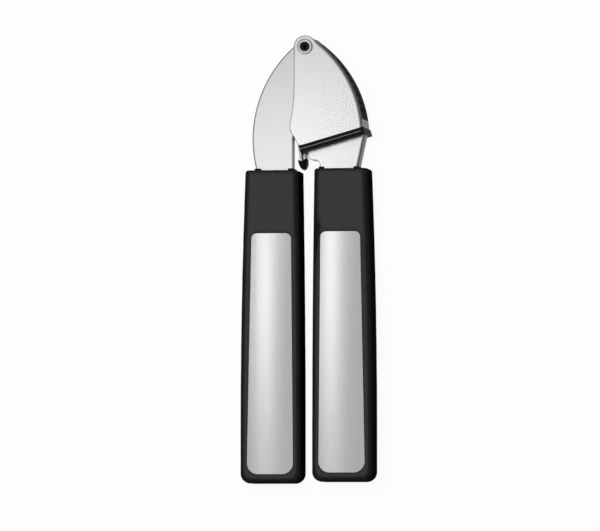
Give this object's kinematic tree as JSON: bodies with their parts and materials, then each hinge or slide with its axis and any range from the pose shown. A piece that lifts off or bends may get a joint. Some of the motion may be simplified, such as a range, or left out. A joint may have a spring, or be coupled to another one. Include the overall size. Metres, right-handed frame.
{
  "type": "garlic press",
  "caption": "Hand-held garlic press: two pivoting black handles with steel inlays, a curved pusher and a swing-out sieve basket with a lift tab.",
  "frame": {"origin": "bottom centre of the closed tool lying on its back, inlays up", "axes": "+X from the plunger handle to the hopper handle, +Y along the handles towards the hinged head, +Z along the hinge axis towards the front with the inlays"},
  "size_m": [0.0606, 0.2029, 0.0266],
  "materials": {
    "sheet_steel": "satin stamped stainless sheet",
    "inlay_steel": "fine brushed along the handle",
    "rivet_steel": "polished rolled rivet",
    "pin_steel": "plain turned steel",
    "grip_black": "soft satin black moulding",
    "core_black": "plain black nylon",
    "collar_black": "glossy black moulding",
    "cap_black": "soft black cap",
    "sieve_black": "black non-stick coat on perforated sheet",
    "pusher_black": "black glass-filled nylon",
    "white_nylon": "natural nylon"
  },
  "bodies": {
    "hopper_arm": {"hopper_frame_front": "sheet_steel", "hopper_frame_rear": "sheet_steel", "shoulder_collar": "collar_black", "hinge_rivet": "rivet_steel", "hinge_washers": "white_nylon", "hopper_core": "core_black", "hopper_grip": "grip_black", "hopper_inlay": "inlay_steel", "hopper_tang_pins": "pin_steel"},
    "basket": {"basket_shell": "sheet_steel", "sieve_plate": "sieve_black", "lift_tab_cap": "cap_black"},
    "plunger_arm": {"plunger_frame": "sheet_steel", "plunger_block": "pusher_black", "plunger_block_pins": "pin_steel", "hinge_spacers": "white_nylon", "plunger_core": "core_black", "plunger_grip": "grip_black", "plunger_inlay": "inlay_steel", "plunger_tang_pins": "pin_steel"}
  },
  "joints": [
    {"name": "basket_swing", "type": "hinge", "parent": "hopper_arm", "child": "basket", "pos_m": [0, 0.09635, 0.0133], "axis": [0, 0, -1], "range_deg": [0, 90]},
    {"name": "plunger_hinge", "type": "hinge", "parent": "basket", "child": "plunger_arm", "pos_m": [0, 0.09635, 0.0133], "axis": [0, 0, -1], "range_deg": [0, 110]}
  ]
}
